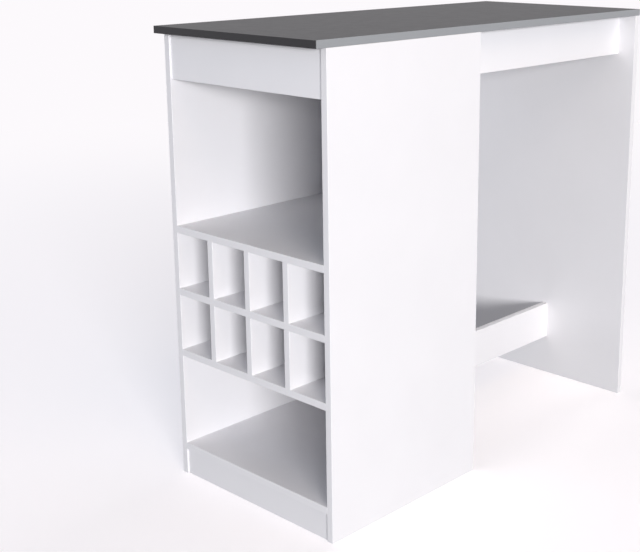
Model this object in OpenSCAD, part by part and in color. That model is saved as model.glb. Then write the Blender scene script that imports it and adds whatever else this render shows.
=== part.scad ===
// Bar table: a worktop on an open storage unit with a bottle rack at one end and a
// single end panel at the other, flat-packed from coated chipboard and held together
// by cam locks, cam bolts and wooden dowels.
// Millimetres. The origin is on the floor under the middle of the worktop, +X runs
// towards the end panel, -Y is the front and +Z is up.

/* [Worktop] */
// Length of the worktop
top_l = 1150; // [1000:10:1600]
// Depth of the worktop
top_d = 500; // [420:10:700]
// Overhang of the worktop past the open end of the storage unit
storage_overhang = 27; // [0:1:80]
// Overhang of the worktop past the end panel
end_overhang = 3; // [0:1:40]
// Overhang of the worktop past the panels at the front and at the back
side_overhang = 0; // [0:1:30]
// Thickness of the worktop board
top_t = 16; // [15:1:30]

/* [Carcass] */
// Thickness of every board under the worktop
board_t = 16; // [15:1:20]
// Height of the panels, from the floor to the underside of the worktop
panel_h = 1030; // [900:5:1150]
// Depth of the storage unit, from its open end to the knee space
storage_w = 468; // [350:1:560]
// Height of the plinth under the base shelf
plinth_h = 62; // [56:1:90]
// How far the plinth and the end apron lie behind the open end
trim_setback = 4; // [1:1:30]

/* [Aprons and foot rail] */
// Height of the aprons under the worktop
apron_h = 100; // [80:1:140]
// How far the front and back aprons lie behind the panels' outer faces
apron_setback = 48; // [20:1:120]
// Height of the foot rail
rail_h = 100; // [80:1:140]
// Height of the foot rail's lower edge above the floor
rail_z = 108; // [40:1:300]

/* [Bottle rack] */
// Clear height of the compartment under the rack
lower_h = 216; // [150:1:260]
// Clear height of one row of the rack
cubby_h = 130; // [100:1:150]

/* [Edge bands] */
// Thickness of the bands on the boards under the worktop
band_t = 0.8; // [0.4:0.1:2]
// Thickness of the bands round the worktop
top_band_t = 1; // [0.4:0.1:2]

/* [Dowels] */
// Diameter of a dowel
dowel_d = 8; // [6:0.5:8]
// Length of a dowel between two boards
dowel_l = 30; // [26:1:35]
// Length of a dowel that sits in the face of a board
dowel_in_face = 11; // [8:0.5:12]
// Length of a rack dowel in each of the two dividers that it joins
dowel_in_divider = 12; // [8:1:20]
// Gap between a dowel and the wall of its hole
dowel_gap = 0.1; // [0.05:0.05:0.3]
// Distance from a cam bolt to the dowel beside it
dowel_beside = 32; // [28:1:50]

/* [Cam locks] */
// Diameter of a cam lock's bore
cam_d = 15; // [13:0.5:16]
// Distance from a board's end to the middle of its cam locks
cam_setback = 34; // [26:1:40]
// How far a cam lock reaches past the axis of its bolt
cam_past_axis = 5; // [4.6:0.1:5.5]
// Gap between a cam lock and its bore
cam_gap = 0.15; // [0.05:0.05:0.3]
// How far a cam lock lies below the face of its board
cam_sink = 0.3; // [0.1:0.1:0.6]
// Diameter of the bore in a board's end for the shank of a cam bolt
shank_bore_d = 8; // [7.6:0.2:9]
// Diameter of a cam bolt's head and collar
bolt_head_d = 6.8; // [6:0.2:7]
// Diameter of a cam bolt's thread
bolt_thread_d = 4.8; // [4:0.2:6]
// Length of a cam bolt's thread in the face of a board
bolt_in_face = 11; // [8:0.5:12]
// Diameter of a cover cap
cap_d = 18; // [17:0.5:22]
// Thickness of a cover cap
cap_t = 1.2; // [0.8:0.1:2]
// Distance from a shelf's front or back edge to its cam locks
shelf_fit_inset = 60; // [40:1:90]

/* [Hidden] */

round_faces = 48;
hole_end_gap = 0.5;
cut_past = 1;

white = "#f3f3f5";
black = "#2c2c2f";
grey = "#a0a3a7";
zinc = "#8f9296";
beech = "#d8b98c";

// Lines of the plan, along X
top_x0 = -top_l / 2;
top_x1 = top_l / 2;
open_x = top_x0 + storage_overhang;
knee_x = open_x + storage_w;
closing_x = knee_x - board_t;
end_x1 = top_x1 - end_overhang;
end_x0 = end_x1 - board_t;
trim_x = open_x + trim_setback;
shelf_depth = closing_x - open_x;
knee_l = end_x0 - knee_x;

// Lines of the plan, along Y
top_y0 = -top_d / 2;
top_y1 = top_d / 2;
outer_y0 = top_y0 + side_overhang;
outer_y1 = top_y1 - side_overhang;
inner_y0 = outer_y0 + board_t;
inner_y1 = outer_y1 - board_t;
inner_w = inner_y1 - inner_y0;
panel_w = outer_y1 - outer_y0;
front_apron_y = outer_y0 + apron_setback;
back_apron_y = outer_y1 - apron_setback - board_t;
rail_y = -board_t / 2;

// Levels
apron_z = panel_h - apron_h;
base_top = plinth_h + board_t;
row_pitch = cubby_h + board_t;
rack_z = base_top + lower_h;
shelf_z = [plinth_h, rack_z, rack_z + row_pitch, rack_z + 2 * row_pitch];
rack_top = shelf_z[3] + board_t;
upper_h = apron_z - rack_top;
divider_z = [rack_z + board_t, rack_z + board_t + row_pitch];

// The three dividers of a row part it into four equal widths
divider_n = 3;
cubby_w = (inner_w - divider_n * board_t) / (divider_n + 1);
function divider_y(i) = inner_y0 + i * cubby_w + (i - 1) * board_t;

// A fitting is [place, turn]. Its place is where two boards meet, at the middle of the
// board whose end it enters. Its own +X runs into that board, and its own +Z points
// to the face that takes the cam lock.
into_back = [180, 0, 90];
into_front = [180, 0, -90];
closing_into_back = [-90, 0, 90];
closing_into_front = [90, 0, -90];
trim_into_back = [90, 0, 90];
trim_into_front = [-90, 0, -90];
rail_into_right = [-90, 0, 0];
rail_into_left = [90, 0, 180];
back_into_right = [90, 0, 0];
back_into_left = [-90, 0, 180];
down_to_back = [0, 90, 90];
down_to_front = [0, 90, -90];
down_to_left = [0, 90, 180];
down = [0, 90, 0];
up = [0, -90, 0];

mid_t = board_t / 2;
shelf_fit_x = [open_x + shelf_fit_inset, closing_x - shelf_fit_inset];
inward = [1, -1];
panel_fit_x = [open_x + shelf_fit_inset, knee_x - shelf_fit_inset];
closing_fit_low = 0.3;
closing_fit_high = 0.75;
closing_fit_z = [
    base_top + lower_h / 2,
    rack_top + upper_h * closing_fit_low,
    rack_top + upper_h * closing_fit_high
];
strip_fit = 18;
plinth_fit = 13;
end_fit_inset = 90;
// Dowels in a top edge stand this share of the board's length from its ends
top_dowel_share = 0.25;
rail_mid_z = rail_z + rail_h / 2;
apron_mid_z = apron_z + apron_h / 2;
trim_mid_x = trim_x + mid_t;
closing_mid_x = closing_x + mid_t;
end_mid_x = end_x0 + mid_t;
end_fit_y = panel_w / 2 - end_fit_inset;
front_apron_mid = front_apron_y + mid_t;
back_apron_mid = back_apron_y + mid_t;
rail_mid_y = rail_y + mid_t;
closing_top_y = inner_w * top_dowel_share;
trim_top_y = inner_w * top_dowel_share;
apron_top_x = [knee_x + knee_l * top_dowel_share, end_x0 - knee_l * top_dowel_share];

// Cam locks and bolts, listed by the board whose end holds the cam lock
function shelf_cams(k) = [
    for (x = shelf_fit_x) each [
        [[x, inner_y0, shelf_z[k] + mid_t], into_back],
        [[x, inner_y1, shelf_z[k] + mid_t], into_front]
    ]
];
function all_shelf_cams() = [for (k = [0:3]) each shelf_cams(k)];
function closing_cams() = [
    for (z = closing_fit_z) each [
        [[closing_mid_x, inner_y0, z], closing_into_back],
        [[closing_mid_x, inner_y1, z], closing_into_front]
    ]
];
function trim_cams(z) = [
    [[trim_mid_x, inner_y0, z], trim_into_back],
    [[trim_mid_x, inner_y1, z], trim_into_front]
];
function end_apron_cams() = trim_cams(apron_mid_z - strip_fit);
function plinth_cams() = trim_cams(plinth_h / 2 - plinth_fit);
function front_apron_cams() = [
    [[knee_x, front_apron_mid, apron_mid_z - strip_fit], rail_into_right],
    [[end_x0, front_apron_mid, apron_mid_z - strip_fit], rail_into_left]
];
function back_apron_cams() = [
    [[knee_x, back_apron_mid, apron_mid_z - strip_fit], back_into_right],
    [[end_x0, back_apron_mid, apron_mid_z - strip_fit], back_into_left]
];
function foot_rail_cams() = [
    [[knee_x, rail_mid_y, rail_mid_z - strip_fit], rail_into_right],
    [[end_x0, rail_mid_y, rail_mid_z - strip_fit], rail_into_left]
];
function front_panel_cams() = [for (x = panel_fit_x) [[x, outer_y0 + mid_t, panel_h], down_to_back]];
function back_panel_cams() = [for (x = panel_fit_x) [[x, outer_y1 - mid_t, panel_h], down_to_front]];
function end_panel_cams() = [for (s = inward) [[end_mid_x, s * end_fit_y, panel_h], down_to_left]];
function knee_cams() = concat(front_apron_cams(), back_apron_cams(), foot_rail_cams());
function worktop_cams() = concat(front_panel_cams(), back_panel_cams(), end_panel_cams());
function side_cams() = concat(all_shelf_cams(), closing_cams(), end_apron_cams(), plinth_cams());
function all_cams() = concat(side_cams(), knee_cams(), worktop_cams());

// Dowels, listed by the board whose end they enter
function shelf_dowels(k) = [
    for (i = [0:1]) each [
        [[shelf_fit_x[i] + inward[i] * dowel_beside, inner_y0, shelf_z[k] + mid_t], into_back],
        [[shelf_fit_x[i] + inward[i] * dowel_beside, inner_y1, shelf_z[k] + mid_t], into_front]
    ]
];
function all_shelf_dowels() = [for (k = [0:3]) each shelf_dowels(k)];
function closing_side_dowels() = [
    for (z = closing_fit_z) each [
        [[closing_mid_x, inner_y0, z + dowel_beside], closing_into_back],
        [[closing_mid_x, inner_y1, z + dowel_beside], closing_into_front]
    ]
];
function trim_dowels(z) = [
    [[trim_mid_x, inner_y0, z], trim_into_back],
    [[trim_mid_x, inner_y1, z], trim_into_front]
];
function end_apron_dowels() = trim_dowels(apron_mid_z + strip_fit);
function plinth_dowels() = trim_dowels(plinth_h / 2 + plinth_fit);
function front_apron_dowels() = [
    [[knee_x, front_apron_mid, apron_mid_z + strip_fit], rail_into_right],
    [[end_x0, front_apron_mid, apron_mid_z + strip_fit], rail_into_left]
];
function back_apron_dowels() = [
    [[knee_x, back_apron_mid, apron_mid_z + strip_fit], back_into_right],
    [[end_x0, back_apron_mid, apron_mid_z + strip_fit], back_into_left]
];
function foot_rail_dowels() = [
    [[knee_x, rail_mid_y, rail_mid_z + strip_fit], rail_into_right],
    [[end_x0, rail_mid_y, rail_mid_z + strip_fit], rail_into_left]
];
function front_panel_dowels() = [
    for (i = [0:1]) [[panel_fit_x[i] + inward[i] * dowel_beside, outer_y0 + mid_t, panel_h], down_to_back]
];
function back_panel_dowels() = [
    for (i = [0:1]) [[panel_fit_x[i] + inward[i] * dowel_beside, outer_y1 - mid_t, panel_h], down_to_front]
];
function end_panel_dowels() = [
    for (s = inward) [[end_mid_x, s * (end_fit_y - dowel_beside), panel_h], down_to_left]
];
function closing_top_dowels() = [for (s = inward) [[closing_mid_x, s * closing_top_y, panel_h], down]];
function end_apron_top_dowels() = [for (s = inward) [[trim_mid_x, s * trim_top_y, panel_h], down]];
function front_apron_top_dowels() = [for (x = apron_top_x) [[x, front_apron_mid, panel_h], down]];
function back_apron_top_dowels() = [for (x = apron_top_x) [[x, back_apron_mid, panel_h], down]];
function plinth_top_dowels() = [for (s = inward) [[trim_mid_x, s * trim_top_y, plinth_h], down]];
function upper_divider_dowels(i) = [
    for (x = shelf_fit_x) [[x, divider_y(i) + mid_t, shelf_z[3]], down]
];
function lower_divider_dowels(i) = [
    for (x = shelf_fit_x) [[x, divider_y(i) + mid_t, divider_z[0]], up]
];
function all_upper_dowels() = [for (i = [1:divider_n]) each upper_divider_dowels(i)];
function all_lower_dowels() = [for (i = [1:divider_n]) each lower_divider_dowels(i)];
function side_dowels() = concat(
    all_shelf_dowels(), closing_side_dowels(), end_apron_dowels(), plinth_dowels()
);
function knee_dowels() = concat(front_apron_dowels(), back_apron_dowels(), foot_rail_dowels());
function worktop_dowels() = concat(
    front_panel_dowels(), back_panel_dowels(), end_panel_dowels(), closing_top_dowels(),
    end_apron_top_dowels(), front_apron_top_dowels(), back_apron_top_dowels()
);
function all_dowels() = concat(
    side_dowels(), knee_dowels(), worktop_dowels(), plinth_top_dowels(),
    all_upper_dowels(), all_lower_dowels()
);

// The middle shelf's dowels pass through it and join the dividers above and below
rack_dowel_l = board_t + 2 * dowel_in_divider;
rack_dowel_z = shelf_z[2] + mid_t;
function rack_dowel_places() = [
    for (i = [1:divider_n]) for (x = shelf_fit_x) [x, divider_y(i) + mid_t, rack_dowel_z]
];

module fitted(fitting) {
    translate(fitting[0]) rotate(fitting[1]) children();
}

module bar_x(x0, x1, d) {
    translate([x0, 0, 0]) rotate([0, 90, 0]) cylinder(h = x1 - x0, d = d, $fn = round_faces);
}

// Holes
hole_d = dowel_d + 2 * dowel_gap;
module dowel_holes(fittings) {
    for (f = fittings) fitted(f)
        bar_x(-dowel_in_face - hole_end_gap, dowel_l - dowel_in_face + hole_end_gap, hole_d);
}

module bolt_pilots(fittings) {
    for (f = fittings) fitted(f)
        bar_x(-bolt_in_face - hole_end_gap, cut_past, bolt_thread_d + 2 * dowel_gap);
}

module cam_bores(fittings) {
    for (f = fittings) fitted(f) {
        bar_x(-cut_past, cam_setback, shank_bore_d);
        translate([cam_setback, 0, -cam_past_axis - cam_sink])
            cylinder(h = board_t / 2 + cam_past_axis + cam_sink + cut_past, d = cam_d, $fn = round_faces);
    }
}

module rack_dowel_holes() {
    for (p = rack_dowel_places()) translate([p.x, p.y, p.z - rack_dowel_l / 2 - hole_end_gap])
        cylinder(h = rack_dowel_l + 2 * hole_end_gap, d = hole_d, $fn = round_faces);
}

module board(place, size) {
    translate(place) cube(size);
}

// Worktop
module worktop() {
    color(black) difference() {
        board(
            [top_x0 + top_band_t, top_y0 + top_band_t, panel_h],
            [top_l - 2 * top_band_t, top_d - 2 * top_band_t, top_t]
        );
        bolt_pilots(worktop_cams());
        dowel_holes(worktop_dowels());
    }
}

module worktop_long_bands() {
    color(grey) for (y = [top_y0, top_y1 - top_band_t])
        board([top_x0 + top_band_t, y, panel_h], [top_l - 2 * top_band_t, top_band_t, top_t]);
}

module worktop_end_bands() {
    color(black) for (x = [top_x0, top_x1 - top_band_t])
        board([x, top_y0, panel_h], [top_band_t, top_d, top_t]);
}

// Storage unit
module storage_front_panel() {
    color(white) difference() {
        board([open_x + band_t, outer_y0, 0], [storage_w - 2 * band_t, board_t, panel_h]);
        bolt_pilots([for (c = side_cams()) if (c[0].y < 0) c]);
        dowel_holes([for (d = side_dowels()) if (d[0].y < 0) d]);
        cam_bores(front_panel_cams());
        dowel_holes(front_panel_dowels());
    }
}

module storage_back_panel() {
    color(white) difference() {
        board([open_x + band_t, inner_y1, 0], [storage_w - 2 * band_t, board_t, panel_h]);
        bolt_pilots([for (c = side_cams()) if (c[0].y > 0) c]);
        dowel_holes([for (d = side_dowels()) if (d[0].y > 0) d]);
        cam_bores(back_panel_cams());
        dowel_holes(back_panel_dowels());
    }
}

module storage_panel_bands() {
    color(white) for (x = [open_x, knee_x - band_t]) for (y = [outer_y0, inner_y1])
        board([x, y, 0], [band_t, board_t, panel_h]);
}

module closing_panel() {
    color(white) difference() {
        board([closing_x, inner_y0, 0], [board_t, inner_w, panel_h]);
        cam_bores(closing_cams());
        dowel_holes(closing_side_dowels());
        dowel_holes(closing_top_dowels());
        bolt_pilots([for (c = knee_cams()) if (c[0].x == knee_x) c]);
        dowel_holes([for (d = knee_dowels()) if (d[0].x == knee_x) d]);
    }
}

module end_apron() {
    color(white) difference() {
        board([trim_x, inner_y0, apron_z + band_t], [board_t, inner_w, apron_h - band_t]);
        cam_bores(end_apron_cams());
        dowel_holes(end_apron_dowels());
        dowel_holes(end_apron_top_dowels());
    }
}

module plinth() {
    color(white) difference() {
        board([trim_x, inner_y0, 0], [board_t, inner_w, plinth_h]);
        cam_bores(plinth_cams());
        dowel_holes(plinth_dowels());
        dowel_holes(plinth_top_dowels());
    }
}

// A shelf of the storage unit, the k-th from the floor, with its own extra holes as children
module shelf(k) {
    color(white) difference() {
        board([open_x + band_t, inner_y0, shelf_z[k]], [shelf_depth - band_t, inner_w, board_t]);
        cam_bores(shelf_cams(k));
        dowel_holes(shelf_dowels(k));
        children();
    }
}

module base_shelf() {
    shelf(0) dowel_holes(plinth_top_dowels());
}

module rack_bottom_shelf() {
    shelf(1) dowel_holes(all_lower_dowels());
}

module rack_middle_shelf() {
    shelf(2) rack_dowel_holes();
}

module rack_top_shelf() {
    shelf(3) dowel_holes(all_upper_dowels());
}

module shelf_bands() {
    color(white) for (z = shelf_z) board([open_x, inner_y0, z], [band_t, inner_w, board_t]);
}

// A divider of the rack, the i-th from the front in the row that starts at height z
module divider(i, z) {
    color(white) difference() {
        board([open_x + band_t, divider_y(i), z], [shelf_depth - band_t, board_t, cubby_h]);
        rack_dowel_holes();
        children();
    }
}

module upper_divider(i) {
    divider(i, divider_z[1]) dowel_holes(upper_divider_dowels(i));
}

module lower_divider(i) {
    divider(i, divider_z[0]) dowel_holes(lower_divider_dowels(i));
}

module divider_bands() {
    color(white) for (z = divider_z) for (i = [1:divider_n])
        board([open_x, divider_y(i), z], [band_t, board_t, cubby_h]);
}

// Knee space
module knee_strip(y, z, h, band_top) {
    board([knee_x, y, z + band_t], [knee_l, board_t, h - band_t - (band_top ? band_t : 0)]);
}

module front_apron() {
    color(white) difference() {
        knee_strip(front_apron_y, apron_z, apron_h, false);
        cam_bores(front_apron_cams());
        dowel_holes(front_apron_dowels());
        dowel_holes(front_apron_top_dowels());
    }
}

module back_apron() {
    color(white) difference() {
        knee_strip(back_apron_y, apron_z, apron_h, false);
        cam_bores(back_apron_cams());
        dowel_holes(back_apron_dowels());
        dowel_holes(back_apron_top_dowels());
    }
}

module apron_bands() {
    color(white) {
        for (y = [front_apron_y, back_apron_y]) board([knee_x, y, apron_z], [knee_l, board_t, band_t]);
        board([trim_x, inner_y0, apron_z], [board_t, inner_w, band_t]);
    }
}

module foot_rail() {
    color(white) difference() {
        knee_strip(rail_y, rail_z, rail_h, true);
        cam_bores(foot_rail_cams());
        dowel_holes(foot_rail_dowels());
    }
}

module foot_rail_bands() {
    color(white) for (z = [rail_z, rail_z + rail_h - band_t])
        board([knee_x, rail_y, z], [knee_l, board_t, band_t]);
}

module end_panel() {
    color(white) difference() {
        board([end_x0, outer_y0 + band_t, 0], [board_t, panel_w - 2 * band_t, panel_h]);
        cam_bores(end_panel_cams());
        dowel_holes(end_panel_dowels());
        bolt_pilots([for (c = knee_cams()) if (c[0].x == end_x0) c]);
        dowel_holes([for (d = knee_dowels()) if (d[0].x == end_x0) d]);
    }
}

module end_panel_bands() {
    color(white) for (y = [outer_y0, outer_y1 - band_t])
        board([end_x0, y, 0], [board_t, band_t, panel_h]);
}

// Fittings
cam_body_d = cam_d - 2 * cam_gap;
cam_h = board_t / 2 + cam_past_axis - cam_sink;
head_room = 0.4;
hook_reach = 3.6;
cross_l = 8;
cross_w = 1.6;
cross_deep = 1.8;
module cam_lock() {
    difference() {
        translate([cam_setback, 0, -cam_past_axis]) cylinder(h = cam_h, d = cam_body_d, $fn = round_faces);
        bar_x(cam_setback - cam_d, cam_setback + hook_reach, bolt_head_d + 2 * head_room);
        for (turn = [0, 90]) translate([cam_setback, 0, -cam_past_axis + cam_h - cross_deep]) rotate(turn)
            translate([-cross_l / 2, -cross_w / 2, 0]) cube([cross_l, cross_w, cross_deep + cut_past]);
    }
}

module cam_locks() {
    color(zinc) for (c = all_cams()) fitted(c) cam_lock();
}

collar_l = 2;
shank_step = 1;
shank_d = bolt_head_d - shank_step;
neck_step = 2.6;
neck_d = bolt_head_d - neck_step;
neck_l = 5;
head_l = 4;
head_bevel = 1;
thread_deep = 0.5;
thread_run_out = 1;
ridge_n = 5;
bolt_head_end = cam_setback + hook_reach - head_room;
ridge_pitch = (bolt_in_face - thread_run_out) / ridge_n;
bolt_outline = concat(
    [[0, -bolt_in_face], [bolt_thread_d / 2 - 2 * thread_deep, -bolt_in_face]],
    [for (r = [0:ridge_n - 1]) each [
        [bolt_thread_d / 2, -bolt_in_face + (r + 0.5) * ridge_pitch],
        [bolt_thread_d / 2 - thread_deep, -bolt_in_face + (r + 1) * ridge_pitch]
    ]],
    [
        [bolt_thread_d / 2 - thread_deep, 0], [bolt_head_d / 2, 0], [bolt_head_d / 2, collar_l],
        [shank_d / 2, collar_l], [shank_d / 2, bolt_head_end - head_l - neck_l],
        [neck_d / 2, bolt_head_end - head_l - neck_l], [neck_d / 2, bolt_head_end - head_l],
        [bolt_head_d / 2, bolt_head_end - head_l + head_bevel],
        [bolt_head_d / 2, bolt_head_end - head_bevel],
        [bolt_head_d / 2 - head_bevel, bolt_head_end], [0, bolt_head_end]
    ]
);
module cam_bolt() {
    rotate([0, 90, 0]) rotate_extrude($fn = round_faces) polygon(bolt_outline);
}

module cam_bolts() {
    color(zinc) for (c = all_cams()) fitted(c) cam_bolt();
}

cap_bevel = 0.4;
cap_outline = [
    [0, 0], [cap_d / 2, 0], [cap_d / 2, cap_t - cap_bevel], [cap_d / 2 - 2 * cap_bevel, cap_t], [0, cap_t]
];
module cam_cover_caps() {
    color(white) for (c = all_cams()) fitted(c) translate([cam_setback, 0, board_t / 2])
        rotate_extrude($fn = round_faces) polygon(cap_outline);
}

// A dowel of length l along +Z with bevelled ends
dowel_bevel = 1;
module dowel(l) {
    rotate_extrude($fn = round_faces) polygon([
        [0, 0], [dowel_d / 2 - dowel_bevel, 0], [dowel_d / 2, dowel_bevel],
        [dowel_d / 2, l - dowel_bevel], [dowel_d / 2 - dowel_bevel, l], [0, l]
    ]);
}

module dowels() {
    color(beech) for (d = all_dowels()) fitted(d)
        translate([-dowel_in_face, 0, 0]) rotate([0, 90, 0]) dowel(dowel_l);
}

module rack_dowels() {
    color(beech) for (p = rack_dowel_places()) translate([p.x, p.y, p.z - rack_dowel_l / 2])
        dowel(rack_dowel_l);
}

worktop();
worktop_long_bands();
worktop_end_bands();
storage_front_panel();
storage_back_panel();
storage_panel_bands();
closing_panel();
end_panel();
end_panel_bands();
end_apron();
front_apron();
back_apron();
apron_bands();
foot_rail();
foot_rail_bands();
plinth();
base_shelf();
rack_bottom_shelf();
rack_middle_shelf();
rack_top_shelf();
shelf_bands();
upper_divider(1);  // upper_divider_1
upper_divider(2);  // upper_divider_2
upper_divider(3);  // upper_divider_3
lower_divider(1);  // lower_divider_1
lower_divider(2);  // lower_divider_2
lower_divider(3);  // lower_divider_3
divider_bands();
cam_locks();
cam_bolts();
cam_cover_caps();
dowels();
rack_dowels();
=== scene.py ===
"""Looks of the bar table: its boards, edge bands, cover caps and fittings, and a pale studio.

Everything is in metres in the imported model's own frame: the origin is on the floor under the
middle of the worktop, +X runs to the end panel, -Y is the front and +Z is up.
"""

import logging
import math
from dataclasses import dataclass, replace
from enum import Enum

import bmesh
import bpy
import numpy as np
from mathutils import Matrix, Vector


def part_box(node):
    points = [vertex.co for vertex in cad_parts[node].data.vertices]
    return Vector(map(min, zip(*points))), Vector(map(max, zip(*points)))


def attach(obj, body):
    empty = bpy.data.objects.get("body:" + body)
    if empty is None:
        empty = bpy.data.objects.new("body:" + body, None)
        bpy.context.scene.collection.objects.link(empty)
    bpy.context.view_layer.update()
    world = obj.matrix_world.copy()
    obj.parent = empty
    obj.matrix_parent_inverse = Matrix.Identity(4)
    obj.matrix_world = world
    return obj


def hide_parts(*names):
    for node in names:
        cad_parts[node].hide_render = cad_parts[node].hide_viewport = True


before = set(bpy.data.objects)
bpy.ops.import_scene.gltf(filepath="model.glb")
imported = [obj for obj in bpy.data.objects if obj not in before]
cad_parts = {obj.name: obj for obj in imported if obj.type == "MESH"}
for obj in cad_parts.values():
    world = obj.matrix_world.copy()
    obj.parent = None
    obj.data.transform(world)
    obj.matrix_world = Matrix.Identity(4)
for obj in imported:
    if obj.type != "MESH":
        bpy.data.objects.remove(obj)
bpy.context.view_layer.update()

MM = 0.001
BODY = "root"
# The CAD's points are put on a grid of this size
GRID = 1e-6
# New points nearer than this are one point
MERGE = 1e-7
# A point this near to a side of a board's box lies on it
TOUCH = 1e-5
# Facets that turn by less than this are one flat face
COPLANAR = math.radians(0.5)
# Most values of a noise lie between these two
NOISE_LOW, NOISE_HIGH = 0.3, 0.7
# Inputs and output of a colour Mix node, whose sockets share their names
MIX_SHARE, MIX_A, MIX_B, MIX_OUT = 0, 6, 7, 2
# What the soft boxes point at: half way up the table, at its middle and nearer its storage end
TABLE_MIDDLE = (0.0, 0.0, 0.52)
STORAGE_SIDE = (-0.25, 0.0, 0.52)
# The plain white behind the table
STUDIO_WHITE = "#fffcff"
STUDIO_WHITE_LEVEL = 0.975
log = logging.getLogger("bar_table")


class Slot(Enum):
    """The record's material slots."""

    WHITE_BOARD = "white_board"
    BLACK_BOARD = "black_board"
    WHITE_EDGING = "white_edging"
    GREY_EDGING = "grey_edging"
    BLACK_EDGING = "black_edging"
    CAP = "white_cap_plastic"
    CAM = "zinc_casting"
    BOLT = "plated_steel"
    DOWEL = "beech"


def linear(code: str) -> tuple[float, float, float, float]:
    """Turns an sRGB hex colour into linear RGBA.

    Args:
        code: a colour such as "#a2a5a9".

    Returns:
        Red, green and blue by the sRGB curve, and an alpha of 1.
    """
    srgb = np.array([int(code[i:i + 2], 16) for i in (1, 3, 5)]) / 255
    curve = np.where(srgb <= 0.04045, srgb / 12.92, ((srgb + 0.055) / 1.055) ** 2.4)
    return (*curve.tolist(), 1.0)


def add(
    tree: bpy.types.NodeTree, kind: str, inputs: dict | None = None, **settings: object
) -> bpy.types.Node:
    """Adds a node with its settings and links.

    Args:
        tree: the node tree that gets the node.
        kind: the node's type, such as "ShaderNodeBump".
        inputs: input name or number to a value, or to the output socket that feeds it.
        settings: the node's own properties.

    Returns:
        The new node.
    """
    node = tree.nodes.new(kind)
    for name, value in settings.items():
        setattr(node, name, value)
    for key, value in (inputs or {}).items():
        if isinstance(value, bpy.types.NodeSocket):
            tree.links.new(value, node.inputs[key])
        else:
            node.inputs[key].default_value = value
    return node


def per_metre(size_mm: float) -> float:
    """Returns the pattern scale at which one feature measures size_mm."""
    return 1 / (size_mm * MM)


@dataclass(frozen=True)
class Pattern:
    """A noise whose features have a real size, and a length where they are drawn out along U."""

    size_mm: float
    detail: float = 2.0
    length_mm: float | None = None

    def value(self, tree: bpy.types.NodeTree) -> bpy.types.NodeSocket:
        """Builds the pattern in a material.

        It reads coordinates in metres, so its scale is one over its size. Without a length
        they are the object's. With one they are the piece's own UV map, whose U runs along
        the piece and is first scaled down by size over length.

        Args:
            tree: the material's node tree.

        Returns:
            The noise's value, from 0 to 1 with its middle near 0.5.
        """
        if self.length_mm is None:
            place = add(tree, "ShaderNodeTexCoord").outputs["Object"]
        else:
            place = add(tree, "ShaderNodeMapping", {
                "Vector": add(tree, "ShaderNodeUVMap").outputs["UV"],
                "Scale": (self.size_mm / self.length_mm, 1.0, 1.0),
            }).outputs["Vector"]
        return add(tree, "ShaderNodeTexNoise", {
            "Vector": place, "Scale": per_metre(self.size_mm), "Detail": self.detail,
        }).outputs["Fac"]


@dataclass(frozen=True)
class Finish:
    """A named finish that builds its material once and hands out the same one after that."""

    name: str

    def material(self) -> bpy.types.Material:
        """Returns the finish's material.

        Returns:
            The Blender material, with its surface linked to the output.
        """
        made = bpy.data.materials.get(self.name)
        if made is None:
            made = bpy.data.materials.new(self.name)
            made.use_nodes = True
            tree = made.node_tree
            tree.nodes.clear()
            shader = self.surface(tree)
            add(tree, "ShaderNodeOutputMaterial", {"Surface": shader.outputs[0]})
        return made

    def surface(self, tree: bpy.types.NodeTree) -> bpy.types.Node:
        """Builds the finish's shader in the tree and returns it."""
        raise NotImplementedError


@dataclass(frozen=True)
class PatternedFinish(Finish):
    """A finish whose tone, relief and roughness each follow a pattern.

    Without a sheen pattern its roughness is even, and without an IOR it is a metal.
    """

    colour: str
    shade: str
    tones: Pattern
    relief: Pattern
    depth_mm: float
    roughness: float
    spread: float = 0.0
    sheen: Pattern | None = None
    ior: float | None = None

    def surface(self, tree: bpy.types.NodeTree) -> bpy.types.Node:
        """Builds the shader.

        Over the middle of a pattern's values the tone goes from the colour to the shade, and
        the roughness from spread below to spread above. The relief is a bump of its depth.

        Args:
            tree: the material's node tree.

        Returns:
            The shader.
        """
        share = add(tree, "ShaderNodeMapRange", {
            "Value": self.tones.value(tree), "From Min": NOISE_LOW, "From Max": NOISE_HIGH,
        })
        tone = add(tree, "ShaderNodeMix", {
            MIX_SHARE: share.outputs["Result"],
            MIX_A: linear(self.colour),
            MIX_B: linear(self.shade),
        }, data_type="RGBA")
        bump = add(tree, "ShaderNodeBump", {
            "Height": self.relief.value(tree), "Strength": 1.0, "Distance": self.depth_mm * MM,
        })
        roughness = self.roughness
        if self.sheen:
            roughness = add(tree, "ShaderNodeMapRange", {
                "Value": self.sheen.value(tree), "From Min": NOISE_LOW, "From Max": NOISE_HIGH,
                "To Min": self.roughness - self.spread, "To Max": self.roughness + self.spread,
            }).outputs["Result"]
        kind = {"IOR": self.ior} if self.ior else {"Metallic": 1.0}
        return add(tree, "ShaderNodeBsdfPrincipled", {
            "Base Color": tone.outputs[MIX_OUT],
            "Roughness": roughness,
            "Normal": bump.outputs["Normal"],
            **kind,
        })


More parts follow.
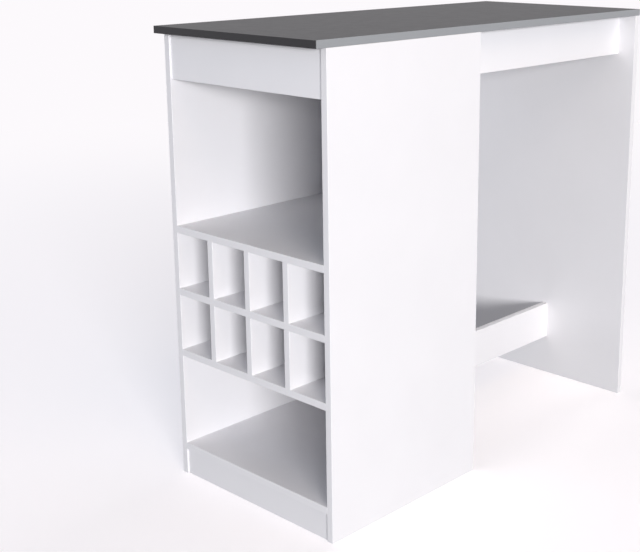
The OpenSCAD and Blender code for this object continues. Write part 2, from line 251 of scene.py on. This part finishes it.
@dataclass(frozen=True)
class Chipboard(Finish):
    """Glued wood chips, each a cell with a tone of its own."""

    light: str
    dark: str
    chip_mm: float
    depth_mm: float
    roughness: float
    ior: float

    def surface(self, tree: bpy.types.NodeTree) -> bpy.types.Node:
        """Builds the chips, whose relief rises with the distance from a chip's middle.

        Args:
            tree: the material's node tree.

        Returns:
            The shader.
        """
        place = add(tree, "ShaderNodeTexCoord").outputs["Object"]
        chips = add(tree, "ShaderNodeTexVoronoi", {"Vector": place, "Scale": per_metre(self.chip_mm)})
        share = add(tree, "ShaderNodeSeparateColor", {"Color": chips.outputs["Color"]})
        tone = add(tree, "ShaderNodeMix", {
            MIX_SHARE: share.outputs["Red"],
            MIX_A: linear(self.light),
            MIX_B: linear(self.dark),
        }, data_type="RGBA")
        bump = add(tree, "ShaderNodeBump", {
            "Height": chips.outputs["Distance"], "Strength": 1.0, "Distance": self.depth_mm * MM,
        })
        return add(tree, "ShaderNodeBsdfPrincipled", {
            "Base Color": tone.outputs[MIX_OUT],
            "Roughness": self.roughness,
            "Normal": bump.outputs["Normal"],
            "IOR": self.ior,
        })


# Melamine-faced chipboard: decor paper under resin, pressed against a pearl plate. It is a soft
# semi-matt with slow clouds and a broad pale sheen, and mirrors nothing. The pearl, some 0.3 mm
# wide on a real board, is too fine to show and is drawn three times as coarse.
WHITE_FACE = PatternedFinish(
    "white_melamine", colour="#ecebed", shade="#eae9eb", tones=Pattern(140, detail=3),
    relief=Pattern(0.9, detail=3), depth_mm=0.006,
    roughness=0.42, spread=0.04, sheen=Pattern(22, detail=4), ior=1.5,
)
# The aprons' white is painted lighter than the panels': painted light that makes up for the shade the
# worktop casts on them, so they show as bright as the panels
APRON_FACE_PAINTED_LIGHTER = replace(
    WHITE_FACE, name="white_melamine_painted_lighter", colour="#f2f1f3", shade="#f0eff1"
)
# Black melamine has a coarser pearl, which breaks the sheen up into a dark satin
BLACK_FACE = replace(
    WHITE_FACE, name="black_melamine", colour="#202225", shade="#222427",
    relief=Pattern(1.1, detail=3), depth_mm=0.008, roughness=0.56, spread=0.02,
)
# ABS edge band, extruded, glued on and scraped flush: a dull plastic with fine lines along it
# and a sheen close to that of the faces beside it. Real lines are about half as wide.
SCRAPER_LINES = Pattern(0.4, length_mm=60)
WHITE_EDGE = PatternedFinish(
    "white_abs_edging", colour="#edecee", shade="#eae9eb", tones=SCRAPER_LINES,
    relief=SCRAPER_LINES, depth_mm=0.012,
    roughness=0.45, spread=0.05, sheen=SCRAPER_LINES, ior=1.53,
)
# The worktop's long bands are drawn in a light grey, far lighter than its black faces and end bands
GREY_EDGE = replace(
    WHITE_EDGE, name="grey_long_band_edging", colour="#95989b", shade="#8f9295", roughness=0.42
)
# Sheen is most of what a black band shows, so its IOR is lowered until its tone is the photo's
BLACK_EDGE = replace(
    WHITE_EDGE, name="black_abs_edging", colour="#19191d", shade="#17171b", roughness=0.46, ior=1.46
)
# Raw chipboard, cut and drilled: glued chips, coarse, brown and matt
CHIPS = Chipboard(
    "raw_chipboard", light="#c8a97c", dark="#8a6a47", chip_mm=2.2, depth_mm=0.15,
    roughness=0.9, ior=1.45,
)
# Polypropylene from a spark-eroded mould, as white as the boards: a soft sheen on a fine grain,
# which is drawn some five times as coarse as a mould's, so that it shows in a close view
MOULD_GRAIN = Pattern(0.25, detail=1)
CAP_PLASTIC = PatternedFinish(
    "white_polypropylene", colour="#efefee", shade="#ebebea", tones=Pattern(6),
    relief=MOULD_GRAIN, depth_mm=0.008,
    roughness=0.46, spread=0.04, sheen=MOULD_GRAIN, ior=1.49,
)
# Zinc alloy straight from the die: a dull grey metal with a blurred sheen
DIE_GRAIN = Pattern(0.3, detail=3)
ZINC = PatternedFinish(
    "die_cast_zinc", colour="#a9acb0", shade="#8b8e93", tones=Pattern(4),
    relief=DIE_GRAIN, depth_mm=0.01, roughness=0.42, spread=0.06, sheen=DIE_GRAIN,
)
# Turned steel with bright zinc plating: paler than the castings, with a sharper sheen
PLATING_GRAIN = Pattern(0.15, detail=3)
STEEL = PatternedFinish(
    "zinc_plated_steel", colour="#c4c6c9", shade="#aeb0b4", tones=Pattern(4),
    relief=PLATING_GRAIN, depth_mm=0.004, roughness=0.28, spread=0.06, sheen=PLATING_GRAIN,
)
# Beech turned and fluted, with no finish on the wood: short dark flecks along the dowel, matt
BEECH_FLECKS = Pattern(0.5, detail=3, length_mm=4)
BEECH = PatternedFinish(
    "turned_beech", colour="#dbbc90", shade="#bd9765", tones=BEECH_FLECKS,
    relief=BEECH_FLECKS, depth_mm=0.03, roughness=0.7, ior=1.45,
)


@dataclass(frozen=True)
class Solid:
    """One solid of a CAD node: its lowest and highest corner and its points."""

    low: np.ndarray
    high: np.ndarray
    points: np.ndarray

    @property
    def centre(self) -> np.ndarray:
        """The middle of the solid's box."""
        return (self.low + self.high) / 2

    @property
    def size(self) -> np.ndarray:
        """The solid's length along each axis."""
        return self.high - self.low


def merged(node: str) -> tuple[np.ndarray, np.ndarray]:
    """Reads a CAD node's loose triangles and merges the points that coincide.

    Args:
        node: the CAD node's name.

    Returns:
        The points in metres, and the triangles as rows of three point numbers.
    """
    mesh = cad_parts[node].data
    places = np.zeros(len(mesh.vertices) * 3)
    mesh.vertices.foreach_get("co", places)
    mesh.calc_loop_triangles()
    corners = np.zeros(len(mesh.loop_triangles) * 3, int)
    mesh.loop_triangles.foreach_get("vertices", corners)
    steps = np.round(places.reshape(-1, 3) / GRID).astype(np.int64)
    points, number = np.unique(steps, axis=0, return_inverse=True)
    triangles = number.reshape(-1)[corners].reshape(-1, 3)
    thin = (triangles[:, 0] == triangles[:, 1]) | (triangles[:, 1] == triangles[:, 2])
    thin |= triangles[:, 2] == triangles[:, 0]
    return points * GRID, triangles[~thin]


def solids(node: str) -> list[Solid]:
    """Parts a CAD node into its solids.

    Every point takes the lowest point number that its triangles reach, until none changes.

    Args:
        node: the CAD node's name.

    Returns:
        The node's solids.
    """
    points, triangles = merged(node)
    label = np.arange(len(points))
    while True:
        lowest = label[triangles].min(axis=1)
        reached = label.copy()
        for corner in range(3):
            np.minimum.at(reached, triangles[:, corner], lowest)
        reached = reached[reached]
        if (reached == label).all():
            break
        label = reached
    used = np.unique(triangles)
    found = []
    for name in np.unique(label[used]):
        own = points[used[label[used] == name]]
        found.append(Solid(own.min(axis=0), own.max(axis=0), own))
    return found


def new_piece(name: str, mesh: bpy.types.Mesh, slot: Slot, *nodes: str) -> bpy.types.Object:
    """Puts a mesh into the scene as a piece of the table.

    Args:
        name: the piece's name.
        mesh: its mesh, with its place in the points.
        slot: the record's material slot; not used.
        nodes: the CAD nodes that it stands for.

    Returns:
        The new object.
    """
    piece = bpy.data.objects.new(name, mesh)
    bpy.context.scene.collection.objects.link(piece)
    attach(piece, BODY)
    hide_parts(*nodes)
    log.info("%s: %d faces, stands for %s", name, len(mesh.polygons), ", ".join(nodes))
    return piece


def quad_rows(rows: int, columns: int) -> np.ndarray:
    """Numbers the quads of a grid of points.

    Args:
        rows: how many points the grid has along its first parameter.
        columns: how many it has along its second one.

    Returns:
        One row of four point numbers for each quad, counter-clockwise in the two parameters.
    """
    grid = np.arange(rows * columns).reshape(rows, columns)
    corners = [grid[:-1, :-1], grid[1:, :-1], grid[1:, 1:], grid[:-1, 1:]]
    return np.stack(corners, axis=-1).reshape(-1, 4)


def directions(along: int, across: int, out: int, side: float) -> np.ndarray:
    """Carries a form's own three directions to the table's axes.

    Args:
        along: the axis that the form's first direction takes.
        across: the axis that its second direction takes.
        out: the axis that its third direction takes.
        side: 1 if the third direction runs up its axis, and -1 if it runs down.

    Returns:
        The matrix by which the form's points are multiplied, as rows, from the right.
    """
    axes = np.zeros((3, 3))
    axes[0, along], axes[1, across], axes[2, out] = 1, 1, side
    return axes


@dataclass(frozen=True)
class Sheet:
    """Points, quads and a UV in metres for each point of one or more surfaces."""

    points: np.ndarray
    quads: np.ndarray
    uv: np.ndarray

    def mesh(self, name: str, finish: Finish) -> bpy.types.Mesh:
        """Makes a Blender mesh of the surfaces.

        Args:
            name: the mesh's name.
            finish: the finish on every face.

        Returns:
            The mesh, with its UV map.
        """
        made = bpy.data.meshes.new(name)
        made.from_pydata(self.points.tolist(), [], self.quads.tolist())
        layer = made.uv_layers.new(name="length_and_width")
        layer.data.foreach_set("uv", self.uv[self.quads.reshape(-1)].astype(np.float32).reshape(-1))
        made.materials.append(finish.material())
        made.validate()
        return made


def joined(sheets: list[Sheet]) -> Sheet:
    """Puts surfaces together into one.

    Args:
        sheets: the surfaces.

    Returns:
        One surface with all their points and quads.
    """
    starts = np.cumsum([0] + [len(s.points) for s in sheets[:-1]])
    return Sheet(
        np.concatenate([s.points for s in sheets]),
        np.concatenate([s.quads + start for s, start in zip(sheets, starts)]),
        np.concatenate([s.uv for s in sheets]),
    )


@dataclass(frozen=True)
class BandForm:
    """How an edge band is scraped: the radius along its long edges and at its two ends."""

    long_radius: float = 0.7 * MM
    end_radius: float = 0.15 * MM
    arc_points: int = 5

    def ticks(self, length: float, radius: float) -> np.ndarray:
        """Places the grid's lines along one direction, close together on the rounded edges.

        Args:
            length: the band's length in this direction.
            radius: the radius of its two edges there.

        Returns:
            Distances from the band's start, in rising order.
        """
        turn = np.linspace(0, math.pi / 2, self.arc_points)
        rise = radius * (1 - np.cos(turn))
        return np.concatenate([rise, length - rise[::-1]])

    @staticmethod
    def drop(place: np.ndarray, length: float, radius: float) -> np.ndarray:
        """Gives how far the surface lies below the band's face.

        Within one radius of an edge the face falls along a quarter circle: the drop is
        r minus the root of r squared minus (r minus the distance to the edge) squared.

        Args:
            place: distances from the band's start.
            length: the band's length along them.
            radius: the radius of its edges.

        Returns:
            The drop at each place.
        """
        edge = np.minimum(place, length - place)
        inside = np.clip(radius - edge, 0, radius)
        return radius - np.sqrt(radius ** 2 - inside ** 2)

    def strip(self, solid: Solid, away_from: np.ndarray) -> Sheet:
        """Builds a band in the box of its CAD solid.

        The outer face is a height field over length and width: thickness minus the drop
        along and across. A skirt closes it down to the board, and a flat sheet closes the
        back.

        Args:
            solid: the CAD solid.
            away_from: the middle of the board that carries the band.

        Returns:
            The band's surface.
        """
        out, across, along = np.argsort(solid.size)
        length, width, thick = solid.size[along], solid.size[across], solid.size[out]
        u = self.ticks(length, min(self.end_radius, thick))
        v = self.ticks(width, min(self.long_radius, thick))
        grid_u, grid_v = np.meshgrid(u, v, indexing="ij")
        fall = self.drop(grid_u, length, min(self.end_radius, thick))
        fall = np.minimum(fall + self.drop(grid_v, width, min(self.long_radius, thick)), thick)
        rows, columns = grid_u.shape
        grid = np.arange(rows * columns).reshape(rows, columns)
        rim = np.concatenate([grid[:, 0], grid[-1, 1:], grid[-2::-1, -1], grid[0, -2:0:-1]])
        face = np.stack([grid_u, grid_v, thick - fall], axis=-1).reshape(-1, 3)
        foot = face[rim] * [1, 1, 0]
        below = len(face) + np.arange(len(rim))
        skirt = np.stack([rim, below, np.roll(below, -1), np.roll(rim, -1)], axis=-1)
        back = face * [1, 1, 0]
        back_start = len(face) + len(foot)
        local = np.concatenate([face, foot, back])
        quads = np.concatenate([
            quad_rows(rows, columns), skirt, quad_rows(rows, columns)[:, ::-1] + back_start,
        ])
        side = np.sign(solid.centre[out] - away_from[out])
        axes = directions(along, across, out, side)
        start = solid.low.copy()
        start[out] = solid.low[out] if side > 0 else solid.high[out]
        if np.linalg.det(axes) < 0:
            quads = quads[:, ::-1]
        return Sheet(start + local @ axes, quads, local[:, :2])


def dressed_bands(
    node: str, slot: Slot, finish: Finish, form: BandForm, *boards: str
) -> bpy.types.Object:
    """Builds every band of a CAD node and dresses them.

    Args:
        node: the bands' CAD node.
        slot: their material slot.
        finish: their finish.
        form: how they are scraped.
        boards: the CAD nodes of the boards that carry them.

    Returns:
        The piece that stands for the node.
    """
    middle = np.mean([np.mean(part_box(board), axis=0) for board in boards], axis=0)
    sheet = joined([form.strip(solid, middle) for solid in solids(node)])
    return new_piece(node + "_scraped", closed(sheet.mesh(node, finish)), slot, node)


def closed(mesh: bpy.types.Mesh) -> bpy.types.Mesh:
    """Merges a mesh's coincident points and turns its faces outwards.

    Args:
        mesh: the mesh, which is changed.

    Returns:
        The same mesh.
    """
    work = bmesh.new()
    work.from_mesh(mesh)
    bmesh.ops.remove_doubles(work, verts=work.verts, dist=MERGE)
    bmesh.ops.recalc_face_normals(work, faces=work.faces)
    work.to_mesh(mesh)
    work.free()
    return mesh


def dressed_board(
    node: str, slot: Slot, face: Finish, arris: float = 0.15 * MM, facing: float = 0.6
) -> bpy.types.Object:
    """Builds a coated board with its bores from its CAD node and dresses it.

    The board's twelve outer edges get a small flat, as a sharp new edge has after
    cleaning up. Its two large faces are melamine, and its cut edges and bores are bare
    chipboard.

    Args:
        node: the board's CAD node.
        slot: its material slot.
        face: the finish of its two large faces and of the flats round them.
        arris: the width of the flat on its edges.
        facing: how far the normal of a melamine face must reach along the thickness. The
            flats, turned by 45 degrees, reach 0.71.

    Returns:
        The piece that stands for the node.
    """
    points, triangles = merged(node)
    low, high = points.min(axis=0), points.max(axis=0)
    thin = int(np.argmin(high - low))
    mesh = bpy.data.meshes.new(node)
    mesh.from_pydata(points.tolist(), [], triangles.tolist())
    work = bmesh.new()
    work.from_mesh(mesh)
    bmesh.ops.dissolve_limit(work, angle_limit=COPLANAR, verts=work.verts, edges=work.edges)
    outer = []
    for edge in work.edges:
        ends = np.array([corner.co for corner in edge.verts])
        on_side = (np.abs(ends - low) < TOUCH).all(axis=0) | (np.abs(ends - high) < TOUCH).all(axis=0)
        if on_side.sum() == 2:
            outer.append(edge)
    bmesh.ops.bevel(
        work, geom=outer, offset=arris, offset_type="OFFSET", segments=1, profile=0.5, affect="EDGES"
    )
    bmesh.ops.recalc_face_normals(work, faces=work.faces)
    work.to_mesh(mesh)
    work.free()
    mesh.materials.append(face.material())
    mesh.materials.append(CHIPS.material())
    count = len(mesh.polygons)
    normals, centres = np.zeros(count * 3), np.zeros(count * 3)
    mesh.polygons.foreach_get("normal", normals)
    mesh.polygons.foreach_get("center", centres)
    depth = centres.reshape(-1, 3)[:, thin]
    flat = np.abs(normals.reshape(-1, 3)[:, thin]) > facing
    near = np.minimum(depth - low[thin], high[thin] - depth) < arris
    mesh.polygons.foreach_set("material_index", np.where(flat & near, 0, 1).astype(np.int32))
    return new_piece(node + "_board", mesh, slot, node)


@dataclass
class Worktop:
    """The black worktop: its board, two grey long bands and two black end bands."""

    band_radius: float = 0.8 * MM

    def build(self) -> None:
        """Builds the board and its bands."""
        dressed_board("worktop", Slot.BLACK_BOARD, BLACK_FACE)
        long_form = BandForm(self.band_radius)
        dressed_bands("worktop_long_bands", Slot.GREY_EDGING, GREY_EDGE, long_form, "worktop")
        end_form = BandForm(self.band_radius, self.band_radius)
        dressed_bands("worktop_end_bands", Slot.BLACK_EDGING, BLACK_EDGE, end_form, "worktop")


@dataclass
class WhiteBoards:
    """White boards of one sub-assembly and the bands on them."""

    boards: tuple[str, ...]
    bands: str | None = None
    form: BandForm = BandForm()
    face: Finish = WHITE_FACE

    def build(self) -> None:
        """Builds every board, and then the bands where the sub-assembly has any."""
        for node in self.boards:
            dressed_board(node, Slot.WHITE_BOARD, self.face)
        if self.bands:
            dressed_bands(self.bands, Slot.WHITE_EDGING, WHITE_EDGE, self.form, *self.boards)


@dataclass
class CoverCaps:
    """Moulded caps over the cam locks: a rounded rim, a slight dome and a gate mark."""

    radius: float = 9 * MM
    rim_round: float = 0.5 * MM
    dome: float = 0.2 * MM
    gate_radius: float = 1.1 * MM
    gate_mouth: float = 1.54 * MM
    gate_depth: float = 0.15 * MM
    turns: int = 40
    top_points: int = 8
    rim_points: int = 6
    rim_share: float = 0.99
    sharp_angle: float = 35.0

    def profile(self, height: float) -> np.ndarray:
        """Gives the cap's outline from the middle of its top to its foot.

        The top falls by the dome times the square of the distance from the middle as a
        share of the way to the rim. The rim is a quarter circle, and the gate mark is a
        flat dimple with a sloping edge.

        Args:
            height: the cap's full height.

        Returns:
            Rows of radius and height.
        """
        inner = self.radius - self.rim_round
        far = np.linspace(self.gate_mouth, inner, self.top_points)
        top = height - self.dome * (far / inner) ** 2
        gate = np.array([
            [0.0, height - self.gate_depth],
            [self.gate_radius, height - self.gate_depth],
        ])
        turn = np.linspace(0, math.pi / 2, self.rim_points)[1:]
        shoulder = height - self.dome - self.rim_round
        rim = np.stack([
            inner + self.rim_round * np.sin(turn), shoulder + self.rim_round * np.cos(turn),
        ], axis=-1)
        foot = np.array([[self.radius, 0.0], [0.0, 0.0]])
        return np.concatenate([gate, np.stack([far, top], axis=-1), rim, foot])

    def cap(self, solid: Solid) -> Sheet:
        """Turns the outline round the cap's axis, in the place of its CAD solid.

        A point is (r cos t, r sin t, h) for each turn t and each outline row (r, h). The
        cap faces away from the end at which the CAD cap is widest.

        Args:
            solid: the CAD cap.

        Returns:
            The cap's surface.
        """
        axis = int(np.argmin(solid.size))
        height = solid.size[axis]
        first, second = (axis + 1) % 3, (axis + 2) % 3
        spread = np.hypot(*(solid.points[:, [first, second]] - solid.centre[[first, second]]).T)
        rim_level = solid.points[spread > spread.max() * self.rim_share, axis].mean()
        side = 1.0 if rim_level < solid.centre[axis] else -1.0
        outline = self.profile(height)
        turn = np.linspace(0, 2 * math.pi, self.turns + 1)
        reach = outline[:, 0][None, :]
        local = np.stack([
            reach * np.cos(turn)[:, None],
            reach * np.sin(turn)[:, None],
            np.broadcast_to(outline[:, 1][None, :], (len(turn), len(outline))),
        ], axis=-1).reshape(-1, 3)
        start = solid.centre.copy()
        start[axis] = solid.low[axis] if side > 0 else solid.high[axis]
        points = start + local @ directions(first, second, axis, side)
        return Sheet(points, quad_rows(len(turn), len(outline)), local[:, :2])

    def build(self) -> None:
        """Builds every cap."""
        node = "cam_cover_caps"
        sheet = joined([self.cap(solid) for solid in solids(node)])
        piece = new_piece(node + "_moulded", closed(sheet.mesh(node, CAP_PLASTIC)), Slot.CAP, node)
        piece.data.shade_smooth()
        piece.data.set_sharp_from_angle(angle=math.radians(self.sharp_angle))


@dataclass
class Dowels:
    """Fluted beech dowels with bevelled ends."""

    node: str
    flutes: int = 16
    flute_depth: float = 0.25 * MM
    bevel: float = 1 * MM
    flute_points: int = 4

    def dowel(self, solid: Solid) -> Sheet:
        """Sweeps a fluted ring along a dowel's axis, in the place of its CAD solid.

        The radius is R minus half the flute's depth times (1 - cos of flutes times t), times
        a share that falls along both bevels, and is 0 at the closed ends.

        Args:
            solid: the CAD dowel.

        Returns:
            The dowel's surface.
        """
        axis = int(np.argmax(solid.size))
        first, second = (axis + 1) % 3, (axis + 2) % 3
        length, radius = solid.size[axis], solid.size[first] / 2
        turn = np.linspace(0, 2 * math.pi, self.flutes * self.flute_points + 1)
        level = np.array([0, 0, self.bevel, length - self.bevel, length, length])
        taper = (radius - self.bevel) / radius
        share = np.array([0, taper, 1, 1, taper, 0])
        ring = radius - self.flute_depth * (1 - np.cos(self.flutes * turn)) / 2
        reach = share[:, None] * ring[None, :]
        local = np.stack([
            reach * np.cos(turn)[None, :],
            reach * np.sin(turn)[None, :],
            np.broadcast_to(level[:, None], reach.shape),
        ], axis=-1).reshape(-1, 3)
        round_way = np.broadcast_to((turn * radius)[None, :], reach.shape).reshape(-1)
        uv = np.stack([local[:, 2], round_way], axis=-1)
        start = solid.centre.copy()
        start[axis] = solid.low[axis]
        points = start + local @ directions(first, second, axis, 1.0)
        return Sheet(points, quad_rows(*reach.shape), uv)

    def build(self) -> None:
        """Builds every dowel of the node."""
        sheet = joined([self.dowel(solid) for solid in solids(self.node)])
        mesh = closed(sheet.mesh(self.node, BEECH))
        new_piece(self.node + "_fluted", mesh, Slot.DOWEL, self.node)


@dataclass
class MetalFittings:
    """The cam locks and cam bolts, whose turned and slotted forms come from the frame."""

    def build(self) -> None:
        """Gives the frame's own meshes their metals."""
        for node, finish, slot in (
            ("cam_locks", ZINC, Slot.CAM),
            ("cam_bolts", STEEL, Slot.BOLT),
        ):
            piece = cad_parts[node]
            piece.data.materials.clear()
            piece.data.materials.append(finish.material())
            log.info("%s: keeps its CAD mesh, with %s", node, finish.name)


@dataclass(frozen=True)
class Lamp:
    """A soft box round the table: its bearing and height as seen from there, and its light.

    An azimuth of 0 is in front of the table, on -Y, and 90 is past the end panel, on +X.
    The level is the share of a white card's full brightness that it gives to a card which
    faces it at the table.
    """

    name: str
    azimuth: float
    elevation: float
    distance: float
    width: float
    height: float
    level: float
    colour: str
    aim: tuple[float, float, float] = TABLE_MIDDLE

    def build(self) -> None:
        """Puts the soft box into the scene.

        A flat lamp of P watts gives a card at distance d a brightness of P over the square
        of pi times d, so the power is the level times that square.
        """
        turn, tilt = math.radians(self.azimuth), math.radians(self.elevation)
        back = Vector((
            math.sin(turn) * math.cos(tilt), -math.cos(turn) * math.cos(tilt), math.sin(tilt),
        ))
        data = bpy.data.lights.new(self.name, "AREA")
        data.shape = "RECTANGLE"
        data.size, data.size_y = self.width, self.height
        data.energy = self.level * (math.pi * self.distance) ** 2
        data.color = linear(self.colour)[:3]
        lamp = bpy.data.objects.new(self.name, data)
        bpy.context.scene.collection.objects.link(lamp)
        lamp.location = Vector(self.aim) + back * self.distance
        lamp.rotation_euler = back.to_track_quat("Z", "Y").to_euler()
        lamp.visible_camera = False


def seen_rays(tree: bpy.types.NodeTree) -> bpy.types.NodeSocket:
    """Adds a switch that is 1 for camera, glossy and transmission rays and 0 for all others.

    Args:
        tree: the node tree.

    Returns:
        The switch's value.
    """
    rays = add(tree, "ShaderNodeLightPath").outputs
    pair = add(tree, "ShaderNodeMath", {
        0: rays["Is Camera Ray"], 1: rays["Is Glossy Ray"],
    }, operation="MAXIMUM")
    return add(tree, "ShaderNodeMath", {
        0: pair.outputs[0], 1: rays["Is Transmission Ray"],
    }, operation="MAXIMUM").outputs[0]


@dataclass(frozen=True)
class StudioFloor(Finish):
    """Matt studio paper that keeps the table's soft shadow and fades to plain white.

    What the camera sees is paler than the paper that lights the table from below, as when
    a picture's background has been lifted to white.
    """

    colour: str
    seen_colour: str
    seen_lift: float
    fade_start: float
    fade_end: float
    tooth: Pattern = Pattern(2.5, detail=3)
    depth_mm: float = 0.02

    def surface(self, tree: bpy.types.NodeTree) -> bpy.types.Node:
        """Builds the paper, and far from the table plain white for what the camera sees.

        The white's share rises smoothly with the distance from the floor's middle, from 0
        where the fade starts to 1 where it ends.

        Args:
            tree: the material's node tree.

        Returns:
            The shader.
        """
        bump = add(tree, "ShaderNodeBump", {
            "Height": self.tooth.value(tree), "Strength": 1.0, "Distance": self.depth_mm * MM,
        })
        paper = add(tree, "ShaderNodeBsdfDiffuse", {
            "Color": linear(self.colour), "Normal": bump.outputs["Normal"],
        })
        seen_paper = add(tree, "ShaderNodeBsdfDiffuse", {
            "Color": linear(self.seen_colour), "Normal": bump.outputs["Normal"],
        })
        lift = add(tree, "ShaderNodeEmission", {
            "Color": linear(STUDIO_WHITE), "Strength": self.seen_lift,
        })
        lifted = add(tree, "ShaderNodeAddShader", {0: seen_paper.outputs[0], 1: lift.outputs[0]})
        white = add(tree, "ShaderNodeEmission", {
            "Color": linear(STUDIO_WHITE), "Strength": STUDIO_WHITE_LEVEL,
        })
        place = add(tree, "ShaderNodeTexCoord").outputs["Object"]
        distance = add(tree, "ShaderNodeVectorMath", {0: place}, operation="LENGTH")
        far = add(tree, "ShaderNodeMapRange", {
            "Value": distance.outputs["Value"],
            "From Min": self.fade_start, "From Max": self.fade_end,
        }, interpolation_type="SMOOTHSTEP")
        seen = add(tree, "ShaderNodeMixShader", {
            "Fac": far.outputs["Result"], 1: lifted.outputs[0], 2: white.outputs[0],
        })
        return add(tree, "ShaderNodeMixShader", {
            "Fac": seen_rays(tree), 1: paper.outputs[0], 2: seen.outputs[0],
        })


@dataclass
class Studio:
    """The floor, the white surroundings and the soft boxes."""

    lamps: tuple[Lamp, ...]
    # The whites that the key lamp doesn't reach are a little blue in the photograph
    fill_level: float = 0.435
    fill_colour: str = "#e4ebf9"
    half_floor: float = 14.0
    floor_points: int = 9
    paper: StudioFloor = StudioFloor(
        "studio_paper", colour="#7c7c7d", seen_colour="#fdfafb", seen_lift=0.25,
        fade_start=0.7, fade_end=5.1,
    )

    def floor(self) -> None:
        """Lays the paper out flat under the table."""
        side = np.linspace(-self.half_floor, self.half_floor, self.floor_points)
        x, y = np.meshgrid(side, side, indexing="ij")
        points = np.stack([x, y, np.zeros_like(x)], axis=-1).reshape(-1, 3)
        sheet = Sheet(points, quad_rows(*x.shape), points[:, :2])
        piece = bpy.data.objects.new("studio_floor", sheet.mesh("studio_floor", self.paper))
        bpy.context.scene.collection.objects.link(piece)

    def surroundings(self) -> None:
        """Sets the world: plain white where it is seen, and a dimmer even fill light."""
        world = bpy.data.worlds.new("studio")
        world.use_nodes = True
        tree = world.node_tree
        tree.nodes.clear()
        fill = add(tree, "ShaderNodeBackground", {
            "Color": linear(self.fill_colour), "Strength": self.fill_level,
        })
        seen = add(tree, "ShaderNodeBackground", {
            "Color": linear(STUDIO_WHITE), "Strength": STUDIO_WHITE_LEVEL,
        })
        mixed = add(tree, "ShaderNodeMixShader", {
            "Fac": seen_rays(tree), 1: fill.outputs[0], 2: seen.outputs[0],
        })
        add(tree, "ShaderNodeOutputWorld", {"Surface": mixed.outputs[0]})
        bpy.context.scene.world = world

    def build(self) -> None:
        """Builds the floor, the surroundings and the lamps."""
        self.floor()
        self.surroundings()
        for lamp in self.lamps:
            lamp.build()
            log.info("%s: level %.3f", lamp.name, lamp.level)
        bpy.context.scene.view_settings.view_transform = "Standard"


@dataclass(frozen=True)
class PhotoCamera:
    """The camera at the photograph's place and angle, for a frame of 640 by 552 pixels.

    A lower elevation with three times this vertical shift fits the photograph more closely,
    but it would push the worktop out of the frame in the other views.
    """

    place: tuple[float, float, float] = (-2.092, -1.830, 1.251)
    azimuth: float = -47.33
    elevation: float = 13.79
    roll: float = -0.04
    lens: float = 65.82
    sensor: float = 36.0
    shift: tuple[float, float] = (-0.106, -0.097)

    def build(self) -> None:
        """Makes the camera and the scene's use of it.

        Back points from the table to the camera. Right is square to it and level, and up
        is square to both; the roll turns right and up round back.
        """
        turn, tilt, roll = (math.radians(a) for a in (self.azimuth, self.elevation, self.roll))
        back = np.array([
            math.sin(turn) * math.cos(tilt), -math.cos(turn) * math.cos(tilt), math.sin(tilt),
        ])
        right = np.array([math.cos(turn), math.sin(turn), 0.0])
        up = np.cross(back, right)
        rolled_right = right * math.cos(roll) + up * math.sin(roll)
        rolled_up = up * math.cos(roll) - right * math.sin(roll)
        data = bpy.data.cameras.new("photo_camera")
        data.sensor_width = self.sensor
        data.lens = self.lens
        data.shift_x, data.shift_y = self.shift
        camera = bpy.data.objects.new("photo_camera", data)
        bpy.context.scene.collection.objects.link(camera)
        matrix = np.eye(4)
        matrix[:3, 0], matrix[:3, 1], matrix[:3, 2] = rolled_right, rolled_up, back
        matrix[:3, 3] = self.place
        camera.matrix_world = Matrix(matrix.tolist())
        bpy.context.scene.camera = camera


# The key lamp stands low on the photograph's side. A weak warm lamp above the front balances
# the fill's blue on the front and on top, and the other two light the end panel and the back.
LAMPS = (
    Lamp(
        "key_soft_box", azimuth=-33.8, elevation=8.8, distance=12.0, width=4.4, height=2.0,
        level=0.968, colour="#fefdff", aim=STORAGE_SIDE,
    ),
    Lamp(
        "front_soft_box", azimuth=-10.0, elevation=50.0, distance=8.0, width=5.0, height=5.0,
        level=0.15, colour="#ffdeb0", aim=STORAGE_SIDE,
    ),
    Lamp(
        "right_soft_box", azimuth=90.0, elevation=8.0, distance=12.0, width=4.4, height=3.0,
        level=0.3, colour="#fffdfb",
    ),
    Lamp(
        "back_soft_box", azimuth=180.0, elevation=8.0, distance=12.0, width=4.4, height=3.0,
        level=0.3, colour="#fffdfb",
    ),
)


def main() -> None:
    """Builds the camera, the studio and the table's sub-assemblies in order."""
    logging.basicConfig(level=logging.INFO, format="%(name)s: %(message)s")
    PhotoCamera().build()
    Studio(LAMPS).build()
    Worktop().build()
    WhiteBoards(("storage_front_panel", "storage_back_panel"), "storage_panel_bands").build()
    WhiteBoards(("closing_panel",)).build()
    WhiteBoards(("end_panel",), "end_panel_bands").build()
    # The aprons take the white that is painted lighter against the worktop's shade
    WhiteBoards(("end_apron", "front_apron", "back_apron"), "apron_bands", face=APRON_FACE_PAINTED_LIGHTER).build()
    WhiteBoards(("foot_rail",), "foot_rail_bands").build()
    WhiteBoards(("plinth",)).build()
    shelves = ("base_shelf", "rack_bottom_shelf", "rack_middle_shelf", "rack_top_shelf")
    WhiteBoards(shelves, "shelf_bands").build()
    dividers = tuple(f"{row}_divider_{number}" for row in ("upper", "lower") for number in (1, 2, 3))
    WhiteBoards(dividers, "divider_bands").build()
    CoverCaps().build()
    Dowels("dowels").build()
    Dowels("rack_dowels").build()
    MetalFittings().build()


if __name__ == "__main__":
    main()
